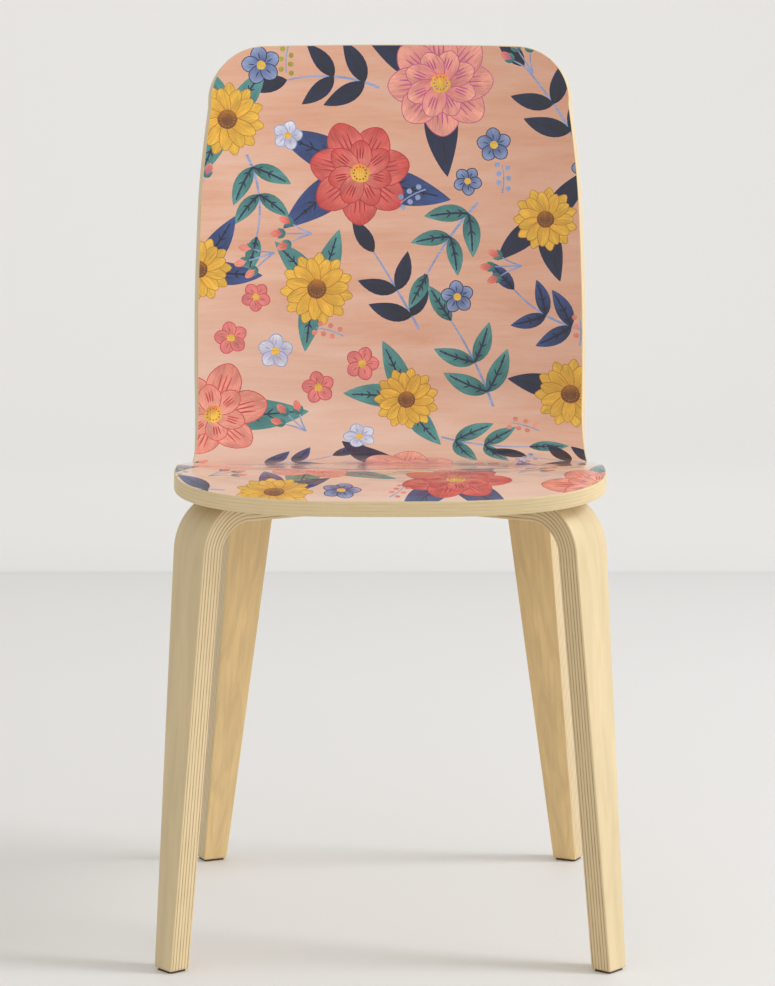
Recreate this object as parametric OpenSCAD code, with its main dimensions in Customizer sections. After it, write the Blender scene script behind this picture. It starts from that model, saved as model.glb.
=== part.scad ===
// Dining chair: a one-piece moulded plywood shell with a printed face, on four bent plywood legs.
// Frame: millimetres, +Z up, the floor at z = 0, the chair facing -Y, the origin midway front to back.

/* [Shell] */
// Thickness of the whole moulded shell
shell_t = 16.5; // [12:0.5:18]
// Thickness of the printed face veneer, and of the plain veneer on the back
veneer_t = 0.9; // [0.6:0.1:1.5]
// Height of the top surface at the middle of the front edge
front_edge_z = 457; // [450:0.5:465]
// Widest half-width of the seat
seat_half_w = 205.5; // [195:0.5:225]
// Radius of the rolled front of the seat
roll_r = 260; // [180:5:400]
// Upward slope of the seat at its front edge, degrees
front_slope = 20; // [8:1:25]
// Downward slope of the seat behind the roll, degrees
seat_slope = 7; // [3:0.5:9]
// Length of the seat between the roll and the bend
seat_run = 176; // [140:1:210]
// Radius of the bend between seat and back
bend_r = 85; // [60:1:120]
// Lean of the back from upright above the bend, degrees
back_lean = 8; // [4:0.5:14]
// Lean of the back from upright at its top, degrees
top_lean = 12; // [8:0.5:20]
// Length of the back above the bend
back_run = 351; // [300:1:380]
// How far the sides of the back stand forward of its middle
wrap_depth = 25; // [0:1:35]
// How far the sides of the seat stand above its middle
dish_depth = 5; // [0:0.5:8]

/* [Legs] */
// Thickness of a leg: thirteen plies
leg_t = 22.5; // [16:0.5:24]
// Width of a leg across its bend
leg_top_w = 50; // [44:1:56]
// Width of a leg at the floor
leg_foot_w = 26; // [20:1:32]
// Inner radius of a leg's bend
leg_bend_r = 31; // [24:1:40]
// Length of a leg's top run, from the corner of its centre line to its end
leg_run = 140; // [132:1:145]
// Thickness of a foot pad
pad_t = 2; // [2:0.5:5]

/* [Hidden] */
$fn = 64;

// ---- The shell's side profile: four arcs, each [length, slope at its start, slope at its end] ----
slope_into_bend = -4.5;
arcs = [
    [roll_r * (front_slope + seat_slope) * PI / 180, front_slope, -seat_slope],
    [seat_run, -seat_slope, slope_into_bend],
    [bend_r * (90 - back_lean - slope_into_bend) * PI / 180, slope_into_bend, 90 - back_lean],
    [back_run, 90 - back_lean, 90 - top_lean]
];
seat_v = arcs[0][0] + arcs[1][0];          // where the bend starts, measured along the profile
bend_end_v = seat_v + arcs[2][0];
shell_v = bend_end_v + arcs[3][0];         // the whole length along the profile

// The step [depth, height] along an arc of length s from slope a0 to slope a1
function arc_step(s, a0, a1) =
    let (k = (a1 - a0) * PI / 180)
    [s * (sin(a1) - sin(a0)) / k, s * (cos(a0) - cos(a1)) / k];

// The point [depth, height] of the top surface at distance v from the front edge
function profile(v, i = 0) =
    let (
        a = arcs[i],
        last = i == len(arcs) - 1,
        s = last ? v : min(v, a[0]),
        a1 = a[1] + (a[2] - a[1]) * s / a[0]
    )
    (s > 0 ? arc_step(s, a[1], a1) : [0, 0]) + (v > a[0] && !last ? profile(v - a[0], i + 1) : [0, 0]);

function smooth(t) = let (c = min(1, max(0, t))) c * c * (3 - 2 * c);
function wrap_at(v) = wrap_depth * smooth((v - 190) / (seat_v + 40 - 190));
function dish_at(v) = dish_depth * smooth((v - 15) / 105) * (1 - smooth((v - 210) / (seat_v + 20 - 210)));

wrap_ref = 200;                            // the half-width at which wrap_depth and dish_depth are measured
function top_point(x, v) =
    let (p = profile(v), q = pow(x / wrap_ref, 2))
    [x, p[0] - wrap_at(v) * q, front_edge_z + p[1] + dish_at(v) * q];
function unit(a) = a / norm(a);
function normal_at(x, v) =
    let (e = 0.5)
    unit(cross(top_point(x + e, v) - top_point(x - e, v), top_point(x, v + e) - top_point(x, v - e)));
function shell_point(x, v, depth) = top_point(x, v) - depth * normal_at(x, v);

// ---- The shell's outline, laid flat: half-width at each distance v ----
front_r_v = 88;                            // how far back the rounded front reaches
front_corner_x = 190;                      // where the front edge hands over to the side
top_r = 55;                                // radius of the top corners
top_crown = 1.5;
top_blend = 5;                             // lean of the sides where they meet the top corners, degrees
top_half_w = 185;
side = [
    [0, seat_half_w], [front_r_v, seat_half_w], [200, seat_half_w - 3], [300, seat_half_w - 4],
    [370, seat_half_w - 7.6], [450, seat_half_w - 7.2], [520, seat_half_w - 7.6],
    [shell_v - 155, 194.4], [shell_v - 105, 190],
    [shell_v - top_crown - top_r - top_r * sin(top_blend), top_half_w - top_r * (1 - cos(top_blend))]
];
function knot_slope(i) =
    let (a = max(i - 1, 0), b = min(i + 1, len(side) - 1))
    (side[b][1] - side[a][1]) / (side[b][0] - side[a][0]);
function knot_before(v, i = 0) = (i >= len(side) - 2 || v < side[i + 1][0]) ? i : knot_before(v, i + 1);
function side_half_w(v) =
    let (
        i = knot_before(v),
        a = side[i],
        b = side[i + 1],
        h = b[0] - a[0],
        t = min(1, max(0, (v - a[0]) / h))
    )
    (2 * pow(t, 3) - 3 * t * t + 1) * a[1] + (pow(t, 3) - 2 * t * t + t) * h * knot_slope(i)
    + (3 * t * t - 2 * pow(t, 3)) * b[1] + (pow(t, 3) - t * t) * h * knot_slope(i + 1);

corner_power = 3;                          // a superellipse rounds the front
top_centre_v = shell_v - top_crown - top_r;
top_corner_x = top_half_w - top_r + top_r * sin(45);
function front_v(x) = front_r_v * (1 - pow(1 - pow(abs(x) / seat_half_w, corner_power), 1 / corner_power));
function top_v(x) =
    abs(x) <= top_half_w - top_r
    ? shell_v - top_crown * pow(x / (top_half_w - top_r), 2)
    : top_centre_v + sqrt(pow(top_r, 2) - pow(abs(x) - top_half_w + top_r, 2));
front_corner_v = front_v(front_corner_x);
top_corner_v = top_v(top_corner_x);
function half_w(v) =
    v < front_r_v ? side_half_w(v) * pow(1 - pow(1 - v / front_r_v, corner_power), 1 / corner_power)
    : v < top_centre_v - top_r * sin(top_blend) ? side_half_w(v)
    : top_half_w - top_r + sqrt(pow(top_r, 2) - pow(v - top_centre_v, 2));

// A grid on the outline: a runs -1..1 across and b runs 0..1 from the front edge to the top edge
function outline_v(a, b) =
    let (v0 = front_v(a * front_corner_x), v1 = top_v(a * top_corner_x))
    v0 + b * (v1 - v0);
function outline_x(a, b) =
    let (edge_v = front_corner_v + b * (top_corner_v - front_corner_v))
    a * half_w(edge_v);
columns = [for (i = [-7:7]) sin(i * 90 / 7)];
edge_rows = concat(
    [for (i = [0:5]) front_corner_v + (front_r_v - front_corner_v) * pow(i / 5, 1.5)],
    [112, 150, 190, 230, 265],
    [for (i = [0:9]) seat_v - 6 + (arcs[2][0] + 12) * i / 9],
    [for (i = [1:6]) bend_end_v + 6 + (top_centre_v - 5 - bend_end_v - 6) * i / 6],
    [for (i = [1:5]) top_centre_v - 5 + (top_corner_v - top_centre_v + 5) * sin(i * 90 / 5)]
);
rows = [for (v = edge_rows) (v - front_corner_v) / (top_corner_v - front_corner_v)];

// A closed sheet of the shell between two depths under its top surface
module shell_layer(depth_0, depth_1) {
    nc = len(columns);
    nr = len(rows);
    points = [for (d = [depth_0, depth_1], b = rows, a = columns)
        shell_point(outline_x(a, b), outline_v(a, b), d)];
    function at(k, j, i) = k * nc * nr + j * nc + i;
    // Two triangles that fill a four-sided patch
    function patch(a, b, c, d) = [[a, b, c], [a, c, d]];
    faces = concat(
        [for (j = [0:nr - 2], i = [0:nc - 2]) each concat(
            patch(at(0, j, i), at(0, j + 1, i), at(0, j + 1, i + 1), at(0, j, i + 1)),
            patch(at(1, j, i), at(1, j, i + 1), at(1, j + 1, i + 1), at(1, j + 1, i)))],
        [for (j = [0:nr - 2]) each concat(
            patch(at(0, j, 0), at(1, j, 0), at(1, j + 1, 0), at(0, j + 1, 0)),
            patch(at(0, j + 1, nc - 1), at(1, j + 1, nc - 1), at(1, j, nc - 1), at(0, j, nc - 1)))],
        [for (i = [0:nc - 2]) each concat(
            patch(at(0, 0, i), at(0, 0, i + 1), at(1, 0, i + 1), at(1, 0, i)),
            patch(at(1, nr - 1, i), at(1, nr - 1, i + 1), at(0, nr - 1, i + 1), at(0, nr - 1, i)))]
    );
    translate([0, -mid_y, 0]) polyhedron(points, faces, convexity = 6);
}

// ---- The legs: each an L in an upright plane, from a foot on the floor to a run under the seat ----
// [foot centre across, foot centre back from the front edge, turn of the leg's plane from +X in degrees,
// lean in that plane, rise of its run, height of the top of the run at its corner].
// These are the left legs, and the right ones mirror them.
front_leg = [-209.3, 29, 40, 5, -1.5, 453];
rear_leg = [-192.6, 466.4, -65, 15.3, 6, 424.5];
sides = [false, true];

// Height of the corner where a leg's two centre lines cross, and its distance along from the foot
function corner_z(leg) = leg[5] - leg_t / 2 / cos(leg[4]);
function corner_p(leg) = corner_z(leg) * tan(leg[3]);
function bend_turn(leg) = 90 - leg[3] - leg[4];
function bend_tangent(leg) = (leg_bend_r + leg_t / 2) * tan(bend_turn(leg) / 2);
bend_steps = 28;                           // flats round a leg's bend
full_w_z = 440;                            // the height where a leg reaches its full width
function leg_w(z) = leg_foot_w + (leg_top_w - leg_foot_w) * z / full_w_z;

// The furthest back that a rear foot reaches: with the front edge at 0, its half is the middle
rear_reach = rear_leg[1] + cos(rear_leg[2]) * leg_w(pad_t) / 2
    + abs(sin(rear_leg[2])) * (leg_t / cos(rear_leg[3]) / 2 - pad_t * tan(rear_leg[3]));
mid_y = rear_reach / 2;

module at_leg(leg, right) {
    mirror([right ? 1 : 0, 0, 0])
        translate([leg[0], leg[1] - mid_y, 0]) rotate([0, 0, leg[2]]) children();
}

// Points on an arc about a centre, from one angle to another
function arc(centre, r, from, to, steps) =
    [for (i = [0:steps]) let (a = from + (to - from) * i / steps) centre + r * [cos(a), sin(a)]];
function turned(p, a) = [p[0] * cos(a) - p[1] * sin(a), p[0] * sin(a) + p[1] * cos(a)];

// The L seen across the leg, as distance along the run and height
module leg_side(leg) {
    r = leg_bend_r + leg_t / 2;
    h = leg_t / 2;
    centre = turned([bend_tangent(leg), -r], leg[4]);
    up = 90 + leg[4];
    sole = corner_z(leg) + 10;
    foot = -sole * [tan(leg[3]), 1];
    foot_h = h / cos(leg[3]);
    translate([corner_p(leg), corner_z(leg)]) polygon(concat(
        arc(centre, r + h, up, 180 - leg[3], bend_steps),
        [foot - [foot_h, 0], foot + [foot_h, 0]],
        arc(centre, r - h, 180 - leg[3], up, bend_steps),
        [turned([leg_run, -h], leg[4]), turned([leg_run, h], leg[4])]
    ));
}
// The L seen along the run: it tapers from its bend to the floor
module leg_front() {
    w = leg_top_w / 2;
    high = 2 * full_w_z;
    foot = leg_foot_w / 2;
    polygon([[-foot, 0], [foot, 0], [w, full_w_z], [w, high], [-w, high], [-w, full_w_z]]);
}
run_end_r = 12;                            // radius of the corners at the end of a run
// The L seen from above, where only the end of the run is rounded
module leg_plan(leg) {
    end = corner_p(leg) + leg_run * cos(leg[4]) - 1;
    w = leg_top_w / 2;
    c = [end - run_end_r, w - run_end_r];
    behind = -100;
    polygon(concat(
        [[behind, w]],
        arc(c, run_end_r, 90, 0, 8),
        arc([c[0], -c[1]], run_end_r, 0, -90, 8),
        [[behind, -w]]
    ));
}
module leg_blank(leg) {
    high = 2 * full_w_z;
    intersection() {
        rotate([90, 0, 0]) linear_extrude(height = leg_top_w + 10, center = true) leg_side(leg);
        rotate([90, 0, 90]) translate([0, 0, -100]) linear_extrude(height = high) leg_front();
        translate([0, 0, pad_t]) linear_extrude(height = high) leg_plan(leg);
    }
}

// ---- What holds a leg to the shell ----
// Three screws a leg, each [along the run, across it], up through the leg into a threaded insert
fixings = [[76, 0], [116, -13], [116, 13]];
screw_r = 2.95;
screw_hole_r = 3.4;
insert_r = 4.5;
insert_bore_r = 3;
insert_len = 10;
washer_r = 8;
washer_t = 1.5;
head_r = 5.5;
head_h = 3.3;
sink_r = 9;                                // a counterbore takes each head and washer
sink_depth = 5.4;
dome_r = 7.5;
socket_w = 4;
spacer_r = 10;

// How far under the shell a fixing's run is: the height of the shell's underside at a point [x, y],
// less the height of the run's top face there
function v_at(x, y, low = 0, high = bend_end_v, steps = 24) =
    steps == 0 ? (low + high) / 2
    : let (mid = (low + high) / 2)
      top_point(x, mid)[1] < y ? v_at(x, y, mid, high, steps - 1) : v_at(x, y, low, mid, steps - 1);
function fixing_gap(leg, f) =
    let (
        along = corner_p(leg) + f[0] * cos(leg[4]),
        x = leg[0] + along * cos(leg[2]) - f[1] * sin(leg[2]),
        y = leg[1] + along * sin(leg[2]) + f[1] * cos(leg[2]),
        v = v_at(x, y),
        under_z = top_point(x, v)[2] - shell_t / normal_at(x, v)[2]
    )
    (under_z - leg[5] - f[0] * sin(leg[4])) * cos(leg[4]);

// Places a child at each fixing, with z = 0 on the top face of the run and the shell at z = $gap
module at_fixings(leg, right) {
    at_leg(leg, right) translate([corner_p(leg), 0, corner_z(leg)]) rotate([0, -leg[4], 0])
        for (f = fixings) let ($gap = fixing_gap(leg, f)) translate([f[0], f[1], leg_t / 2]) children();
}

module printed_face_veneer() {
    color([0.93, 0.72, 0.62]) shell_layer(0, veneer_t);
}
module insert_holes() {
    for (right = sides, leg = [front_leg, rear_leg])
        at_fixings(leg, right) cylinder(r = insert_r, h = $gap + insert_len + 0.6);
}
module shell_core() {
    color([0.87, 0.77, 0.58]) difference() {
        shell_layer(veneer_t, shell_t - veneer_t);
        insert_holes();
    }
}
module back_face_veneer() {
    color([0.9, 0.8, 0.62]) difference() {
        shell_layer(shell_t - veneer_t, shell_t);
        insert_holes();
    }
}

nail_r = 1.2;
nail_head_r = 3;
nail_len = 14;
nail_head_t = 0.8;
nail_head_z = 0.4;                         // the head is sunk this far into the pad
function foot_shift(leg) = pad_t * tan(leg[3]);
module leg_part(leg, right) {
    color([0.9, 0.8, 0.6]) difference() {
        at_leg(leg, right) leg_blank(leg);
        at_fixings(leg, right) translate([0, 0, -leg_t - 1]) {
            cylinder(r = screw_hole_r, h = leg_t + 2);
            cylinder(r = sink_r, h = sink_depth + 1);
        }
        at_leg(leg, right) translate([foot_shift(leg), 0, 0]) cylinder(r = nail_r + 0.1, h = nail_len + 1);
    }
}
// The rubber under the shell is cut to its curve
module spacers(leg, right) {
    color([0.16, 0.15, 0.14]) intersection() {
        at_fixings(leg, right) difference() {
            cylinder(r = spacer_r, h = 40);
            translate([0, 0, -1]) cylinder(r = screw_hole_r, h = 42);
        }
        shell_layer(shell_t, shell_t + 40);
    }
}
module inserts(leg, right) {
    color([0.75, 0.62, 0.35]) at_fixings(leg, right) translate([0, 0, $gap + 0.4]) difference() {
        cylinder(r = insert_r, h = insert_len);
        translate([0, 0, -1]) cylinder(r = insert_bore_r, h = insert_len + 2);
    }
}
module washers(leg, right) {
    color([0.7, 0.7, 0.7]) at_fixings(leg, right) translate([0, 0, sink_depth - leg_t - washer_t]) difference() {
        cylinder(r = washer_r, h = washer_t);
        translate([0, 0, -1]) cylinder(r = screw_hole_r, h = washer_t + 2);
    }
}
module screws(leg, right) {
    under_head = leg_t - sink_depth + washer_t;
    color([0.6, 0.6, 0.62]) at_fixings(leg, right) translate([0, 0, -under_head - head_h]) difference() {
        union() {
            rotate_extrude() intersection() {
                translate([0, dome_r]) circle(r = dome_r);
                square([head_r, head_h]);
            }
            cylinder(r = screw_r, h = head_h + under_head + $gap + insert_len - 0.5);
        }
        translate([0, 0, -1]) cylinder(r = socket_w / 2 / cos(30), h = 3.2, $fn = 6);
    }
}
module foot_outline(leg) {
    // A pad is a little smaller than the foot, with rounded corners
    inset = 2;
    r = 2.5;
    a = leg_t / cos(leg[3]) / 2 - inset - r;
    b = leg_w(pad_t) / 2 - inset - r;
    square([2 * a, 2 * (b + r)], center = true);
    square([2 * (a + r), 2 * b], center = true);
    for (i = [-1, 1], j = [-1, 1]) translate([i * a, j * b]) circle(r = r);
}
module foot_pad(leg, right) {
    color([0.2, 0.15, 0.12]) at_leg(leg, right) translate([foot_shift(leg), 0, 0]) difference() {
        linear_extrude(height = pad_t) foot_outline(leg);
        translate([0, 0, -1]) cylinder(r = nail_r + 0.1, h = pad_t + 2);
        translate([0, 0, -1]) cylinder(r = nail_head_r + 0.2, h = nail_head_z + nail_head_t + 1);
    }
}
module pad_nail(leg, right) {
    color([0.6, 0.6, 0.62]) at_leg(leg, right) translate([foot_shift(leg), 0, nail_head_z]) {
        cylinder(r = nail_head_r, h = nail_head_t);
        cylinder(r = nail_r, h = nail_len - nail_head_z);
    }
}

printed_face_veneer();
shell_core();
back_face_veneer();
leg_part(front_leg, false);  // leg_front_left
leg_part(front_leg, true);  // leg_front_right
leg_part(rear_leg, false);  // leg_rear_left
leg_part(rear_leg, true);  // leg_rear_right
spacers(front_leg, false);  // spacers_front_left
spacers(front_leg, true);  // spacers_front_right
spacers(rear_leg, false);  // spacers_rear_left
spacers(rear_leg, true);  // spacers_rear_right
inserts(front_leg, false);  // inserts_front_left
inserts(front_leg, true);  // inserts_front_right
inserts(rear_leg, false);  // inserts_rear_left
inserts(rear_leg, true);  // inserts_rear_right
washers(front_leg, false);  // washers_front_left
washers(front_leg, true);  // washers_front_right
washers(rear_leg, false);  // washers_rear_left
washers(rear_leg, true);  // washers_rear_right
screws(front_leg, false);  // screws_front_left
screws(front_leg, true);  // screws_front_right
screws(rear_leg, false);  // screws_rear_left
screws(rear_leg, true);  // screws_rear_right
foot_pad(front_leg, false);  // foot_pad_front_left
foot_pad(front_leg, true);  // foot_pad_front_right
foot_pad(rear_leg, false);  // foot_pad_rear_left
foot_pad(rear_leg, true);  // foot_pad_rear_right
pad_nail(front_leg, false);  // pad_nail_front_left
pad_nail(front_leg, true);  // pad_nail_front_right
pad_nail(rear_leg, false);  // pad_nail_rear_left
pad_nail(rear_leg, true);  // pad_nail_rear_right
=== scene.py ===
import math
import random

import bpy
import numpy as np
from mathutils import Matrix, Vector
from mathutils.geometry import delaunay_2d_cdt


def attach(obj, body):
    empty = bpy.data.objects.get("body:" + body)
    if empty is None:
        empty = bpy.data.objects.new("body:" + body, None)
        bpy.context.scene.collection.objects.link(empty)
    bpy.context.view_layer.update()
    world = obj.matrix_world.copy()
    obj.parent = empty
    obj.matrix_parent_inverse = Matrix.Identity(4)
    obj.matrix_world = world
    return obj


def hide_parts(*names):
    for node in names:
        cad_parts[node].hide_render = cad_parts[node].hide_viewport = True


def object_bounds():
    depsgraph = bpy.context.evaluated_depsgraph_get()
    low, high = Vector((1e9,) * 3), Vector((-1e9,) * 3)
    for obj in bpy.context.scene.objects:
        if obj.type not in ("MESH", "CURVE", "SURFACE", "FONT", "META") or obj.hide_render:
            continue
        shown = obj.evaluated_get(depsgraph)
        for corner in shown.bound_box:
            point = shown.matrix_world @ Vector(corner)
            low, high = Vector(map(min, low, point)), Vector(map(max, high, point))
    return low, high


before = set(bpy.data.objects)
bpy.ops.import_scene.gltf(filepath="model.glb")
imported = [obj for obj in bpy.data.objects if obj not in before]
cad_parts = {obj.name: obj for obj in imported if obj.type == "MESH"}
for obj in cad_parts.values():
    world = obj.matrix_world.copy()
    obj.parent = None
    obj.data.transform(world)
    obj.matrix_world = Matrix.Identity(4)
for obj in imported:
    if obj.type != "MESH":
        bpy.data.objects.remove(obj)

MM = 0.001
cad_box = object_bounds()
random.seed(7)

# ---------------------------------------------------------------------------
# The shell's shape, by the CAD model's own formula and dimensions, in millimetres
# ---------------------------------------------------------------------------
SHELL_T, VENEER_T = 16.5, 0.9
FRONT_EDGE_Z, SEAT_HALF_W = 457, 205.5
ROLL_R, FRONT_SLOPE, SEAT_SLOPE = 260, 20, 7
SEAT_RUN, INTO_BEND, BEND_R = 176, -4.5, 85
BACK_LEAN, TOP_LEAN, BACK_RUN = 8, 12, 351
WRAP_DEPTH, DISH_DEPTH, WRAP_REF = 25, 5, 200
WRAP_START_V, WRAP_PAST_BEND = 190, 40     # where the wrap starts, and how far past SEAT_V it is full
DISH_START_V, DISH_FULL_V, DISH_FADE_V, DISH_PAST_BEND = 15, 120, 210, 20
MID_Y = -cad_box[0][1] / MM                # the front edge is this far in front of the origin

ARCS = [
    (ROLL_R * math.radians(FRONT_SLOPE + SEAT_SLOPE), FRONT_SLOPE, -SEAT_SLOPE),
    (SEAT_RUN, -SEAT_SLOPE, INTO_BEND),
    (BEND_R * math.radians(90 - BACK_LEAN - INTO_BEND), INTO_BEND, 90 - BACK_LEAN),
    (BACK_RUN, 90 - BACK_LEAN, 90 - TOP_LEAN),
]
SEAT_V = ARCS[0][0] + ARCS[1][0]           # where the bend starts, measured along the profile
BEND_END_V = SEAT_V + ARCS[2][0]
SHELL_V = BEND_END_V + ARCS[3][0]


def profile(v):
    """Depth and height of the top surface at distances v from the front edge."""
    depth, height, left = np.zeros_like(v), np.zeros_like(v), v
    for i, (length, start, end) in enumerate(ARCS):
        low = -math.inf if i == 0 else 0
        high = math.inf if i == len(ARCS) - 1 else length
        s = np.clip(left, low, high)
        a0, turn = math.radians(start), math.radians(end - start) / length
        a1 = a0 + turn * s
        depth = depth + (np.sin(a1) - math.sin(a0)) / turn
        height = height + (math.cos(a0) - np.cos(a1)) / turn
        left = left - length
    return depth, height


def smooth(t):
    t = np.clip(t, 0, 1)
    return t * t * (3 - 2 * t)


def top_points(flat):
    x, v = flat[:, 0], flat[:, 1]
    depth, height = profile(v)
    q = (x / WRAP_REF) ** 2
    wrap = WRAP_DEPTH * smooth((v - WRAP_START_V) / (SEAT_V + WRAP_PAST_BEND - WRAP_START_V))
    dish = DISH_DEPTH * smooth((v - DISH_START_V) / (DISH_FULL_V - DISH_START_V))
    dish = dish * (1 - smooth((v - DISH_FADE_V) / (SEAT_V + DISH_PAST_BEND - DISH_FADE_V)))
    return np.stack([x, depth - wrap * q - MID_Y, FRONT_EDGE_Z + height + dish * q], 1)


def normals_at(flat):
    e = 0.5
    across = top_points(flat + [e, 0]) - top_points(flat - [e, 0])
    along = top_points(flat + [0, e]) - top_points(flat - [0, e])
    n = np.cross(across, along)
    return n / np.linalg.norm(n, axis=1)[:, None]


def shell_points(flat, depth):
    """Points at depths under the top surface, for flat positions (x, v)."""
    return top_points(flat) - np.asarray(depth).reshape(-1, 1) * normals_at(flat)


FRONT_R_V, FRONT_CORNER_X, CORNER_POWER = 88, 190, 3
TOP_R, TOP_CROWN, TOP_BLEND, TOP_HALF_W = 55, 1.5, 5, 185
TOP_CENTRE_V = SHELL_V - TOP_CROWN - TOP_R
SIDE = [
    (0, SEAT_HALF_W), (FRONT_R_V, SEAT_HALF_W), (200, SEAT_HALF_W - 3), (300, SEAT_HALF_W - 4),
    (370, SEAT_HALF_W - 7.6), (450, SEAT_HALF_W - 7.2), (520, SEAT_HALF_W - 7.6),
    (SHELL_V - 155, 194.4), (SHELL_V - 105, 190),
    (TOP_CENTRE_V - TOP_R * math.sin(math.radians(TOP_BLEND)),
     TOP_HALF_W - TOP_R * (1 - math.cos(math.radians(TOP_BLEND)))),
]


def side_half_w(v):
    i = max(k for k in range(len(SIDE) - 1) if k == 0 or SIDE[k][0] <= v)
    a, b = SIDE[i], SIDE[i + 1]
    h = b[0] - a[0]
    t = min(1, max(0, (v - a[0]) / h))

    def slope(k):
        p, q = SIDE[max(k - 1, 0)], SIDE[min(k + 1, len(SIDE) - 1)]
        return (q[1] - p[1]) / (q[0] - p[0])

    return ((2 * t**3 - 3 * t * t + 1) * a[1] + (t**3 - 2 * t * t + t) * h * slope(i)
            + (3 * t * t - 2 * t**3) * b[1] + (t**3 - t * t) * h * slope(i + 1))


def front_v(x):
    return FRONT_R_V * (1 - (1 - (abs(x) / SEAT_HALF_W) ** CORNER_POWER) ** (1 / CORNER_POWER))


def half_w(v):
    if v < FRONT_R_V:
        return side_half_w(v) * (1 - (1 - v / FRONT_R_V) ** CORNER_POWER) ** (1 / CORNER_POWER)
    if v < SIDE[-1][0]:
        return side_half_w(v)
    return TOP_HALF_W - TOP_R + math.sqrt(TOP_R**2 - (v - TOP_CENTRE_V) ** 2)


def top_v(x):
    flat_w = TOP_HALF_W - TOP_R
    if abs(x) <= flat_w:
        return SHELL_V - TOP_CROWN * (x / flat_w) ** 2
    return TOP_CENTRE_V + math.sqrt(TOP_R**2 - (abs(x) - flat_w) ** 2)


def spaced(points, step):
    """The closed polyline's points again, a step apart."""
    p = np.vstack([points, points[:1]])
    along = np.concatenate([[0], np.cumsum(np.linalg.norm(np.diff(p, axis=0), axis=1))])
    at = np.linspace(0, along[-1], int(along[-1] / step) + 1)[:-1]
    return np.stack([np.interp(at, along, p[:, k]) for k in (0, 1)], 1)


def shell_outline():
    """The shell's outline, flat and counterclockwise, about 4 mm apart, with its inward normals."""
    corner_v = front_v(FRONT_CORNER_X)
    corner_x = TOP_HALF_W - TOP_R + TOP_R * math.sin(math.radians(45))
    top_corner_v = top_v(corner_x)
    side = [(half_w(v), v) for v in np.linspace(corner_v, top_corner_v, 900)]
    front = [(x, front_v(x)) for x in np.linspace(-FRONT_CORNER_X, FRONT_CORNER_X, 400)]
    top = [(x, top_v(x)) for x in np.linspace(corner_x, -corner_x, 400)]
    ring = front[:-1] + side[:-1] + top[:-1] + [(-x, v) for x, v in reversed(side)][:-1]
    p = spaced(np.array(ring), 4)
    t = np.roll(p, -1, 0) - np.roll(p, 1, 0)
    t /= np.linalg.norm(t, axis=1)[:, None]
    return p, np.stack([-t[:, 1], t[:, 0]], 1)


OUTLINE, INWARD = shell_outline()
EDGE_R = 1.1                               # radius of the eased edges
RIM = OUTLINE + EDGE_R * INWARD            # where the faces stop and the eased edge starts

# ---------------------------------------------------------------------------
# The print, a plain all-over floral: painted shapes, one over another, on the flat shell
# ---------------------------------------------------------------------------
PALETTE = {
    "ground": "dfa98d", "ground_deep": "cf9072", "ground_pale": "e9cfc0", "coral": "e88c7c",
    "coral_light": "f0a692", "red": "cf4a48", "magenta": "c25a8a", "crimson": "b8323e", "ink": "232733",
    "navy": "252d4d", "navy_deep": "191f38", "blue": "3c5590", "periwinkle": "93a3cc", "lilac": "bdb3da",
    "teal": "5c9a98", "teal_deep": "33716f", "yellow": "eabb45", "gold": "dfa233",
    "amber": "b9781c", "umber": "7a4a22", "lime_deep": "a9a238", "orange": "ea7b3a",
    "pink": "e07a80", "pale": "dfe2ee",
}


def linear(name):
    """A palette colour as linear red, green and blue."""
    value = PALETTE[name]
    srgb = [int(value[k:k + 2], 16) / 255 for k in (0, 2, 4)]
    return np.array([c / 12.92 if c <= 0.04045 else ((c + 0.055) / 1.055) ** 2.4 for c in srgb])


def direction(angle):
    return np.array([math.cos(math.radians(angle)), math.sin(math.radians(angle))])


class Shape:
    """One painted shape: its outline, its colours from base to tip, and which way the brush ran."""

    def __init__(self, points, colour, tip=None, base=None, angle=0.0, length=1.0):
        self.points = np.asarray(points, float)
        self.colours = linear(colour), linear(tip or colour)
        self.base = self.points.mean(0) if base is None else np.asarray(base, float)
        self.axis = direction(angle)
        self.length = length
        self.seed = random.random() * 100


shapes = []


def paint(points, colour, tip=None, base=None, angle=0.0, length=1.0):
    shapes.append(Shape(points, colour, tip, base, angle, length))


VEIN_W = 1.6
# A painted shape's width at share t of its length is sin(pi t**lean) ** fullness
WIDTHS = {"leaf": (0.8, 0.85), "round": (1.25, 0.55), "stroke": (0.8, 0.5)}


def width_at(kind, t):
    if kind == "stem":
        return 1 - 0.45 * t**2
    lean, fullness = WIDTHS[kind]
    return max(math.sin(math.pi * min(t, 1) ** lean), 0) ** fullness


def centre_line(base, angle, length, bend, steps, even=True):
    """Points, headings and shares along an arc that turns by bend degrees in all."""
    p, last, points = np.array(base, float), 0.0, []
    for i in range(steps + 1):
        t = i / steps if even else 0.5 - 0.5 * math.cos(math.pi * i / steps)
        p = p + direction(angle + bend * ((t + last) / 2 - 0.5)) * length * (t - last)
        points.append((p.copy(), angle + bend * (t - 0.5), t))
        last = t
    return points


def ribbon(base, angle, length, width, kind, bend=0.0, ragged=0.0):
    """The outline of a leaf, petal or stroke along a bent centre line."""
    steps = max(4 if kind == "stroke" else 8, int(length / 3.8))
    left, right = [], []
    for p, heading, t in centre_line(base, angle, length, bend, steps, False):
        w = width / 2 * width_at(kind, t)
        side = direction(heading + 90)
        for edge, sign in ((left, 1), (right, -1)):
            rough = ragged * random.uniform(-1, 1) * math.sin(math.pi * t)
            edge.append(p + sign * side * (w + rough))
    return left[:-1] + right[:0:-1]


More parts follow.
